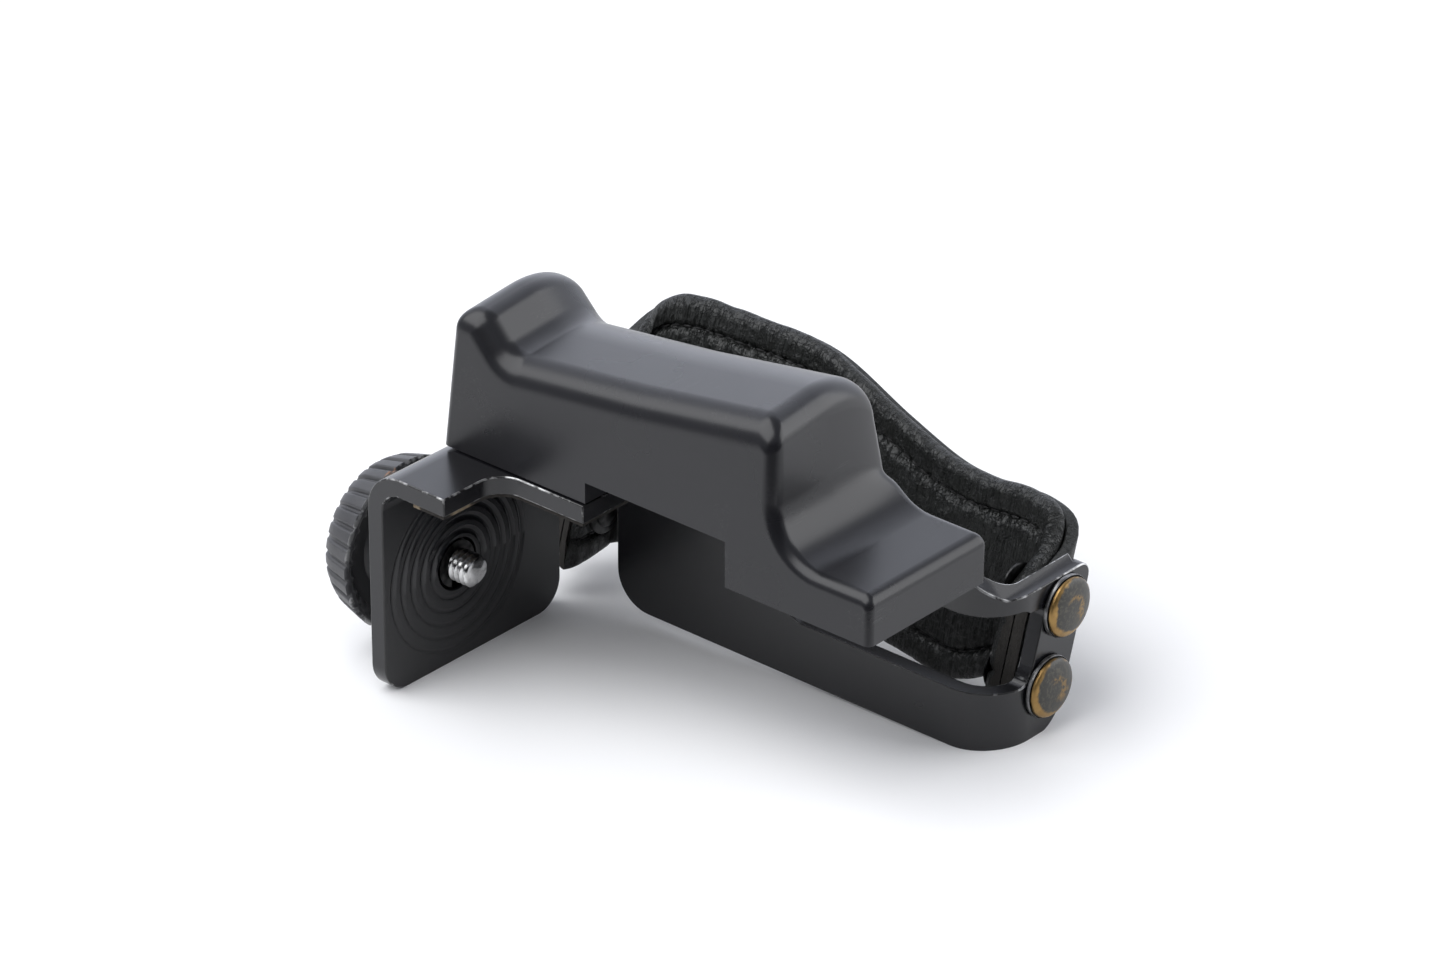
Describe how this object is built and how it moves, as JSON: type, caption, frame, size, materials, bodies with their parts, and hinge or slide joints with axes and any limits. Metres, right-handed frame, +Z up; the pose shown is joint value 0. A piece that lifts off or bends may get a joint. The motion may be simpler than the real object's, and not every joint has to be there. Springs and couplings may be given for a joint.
{
  "type": "camera side hand grip",
  "caption": "Side hand grip for a camera: moulded grip body on a bent bracket with a captive tripod screw and ribbed knob, a windowed frame and a padded leather hand strap.",
  "frame": {"origin": "centre of the bounding box's bottom face", "axes": "+X runs along the grip away from the bracket, +Y from the finger side to the palm side, +Z up"},
  "size_m": [0.1258, 0.085, 0.0763],
  "materials": {
    "black_paint": "semi-gloss black paint, worn to bare metal along the edges",
    "moulding": "satin black moulded plastic with fine scratches",
    "bright_steel": "bright machined steel",
    "brass": "turned brass",
    "cap_brass": "aged brass with worn black lacquer",
    "leather_belt": "black belt leather with raw brown edges",
    "leather_pad": "soft wrinkled black leather, stitched",
    "cork": "worn cork and glue",
    "washer": "black nylon"
  },
  "bodies": {
    "grip_frame": {"angle_bracket": "black_paint", "frame_plate": "black_paint", "grip_shell": "moulding", "grip_back_cover": "moulding", "flange_screw_1": "bright_steel", "flange_screw_2": "bright_steel", "frame_screw_1": "bright_steel", "frame_screw_2": "bright_steel", "rivet_ring_right_upper": "bright_steel", "rivet_washer_right_upper": "bright_steel", "rivet_post_right_upper": "bright_steel", "rivet_ring_right_lower": "bright_steel", "rivet_washer_right_lower": "bright_steel", "rivet_post_right_lower": "bright_steel", "rivet_ring_left_upper": "bright_steel", "rivet_washer_left_upper": "bright_steel", "rivet_post_left_upper": "bright_steel", "rivet_ring_left_lower": "bright_steel", "rivet_washer_left_lower": "bright_steel", "rivet_post_left_lower": "bright_steel", "flange_insert_1": "brass", "flange_insert_2": "brass", "frame_insert_1": "brass", "frame_insert_2": "brass", "rivet_cap_right_upper": "cap_brass", "rivet_cap_right_lower": "cap_brass", "rivet_cap_left_upper": "cap_brass", "rivet_cap_left_lower": "cap_brass", "strap_belt": "leather_belt", "strap_pad": "leather_pad", "flange_liner": "cork"},
    "washer_carriage": {"thrust_washer": "washer"},
    "knob_screw": {"mount_screw": "bright_steel", "retaining_clip": "bright_steel", "knob_hub": "bright_steel", "knob": "moulding"}
  },
  "joints": [
    {"name": "screw_float", "type": "slide", "parent": "grip_frame", "child": "washer_carriage", "axis": [-1, 0, 0], "range_m": [0, 0.0008]},
    {"name": "screw_turn", "type": "hinge", "parent": "washer_carriage", "child": "knob_screw", "pos_m": [-0.0429, -0.02297, 0.0198], "axis": [1, 0, 0], "continuous": true}
  ]
}
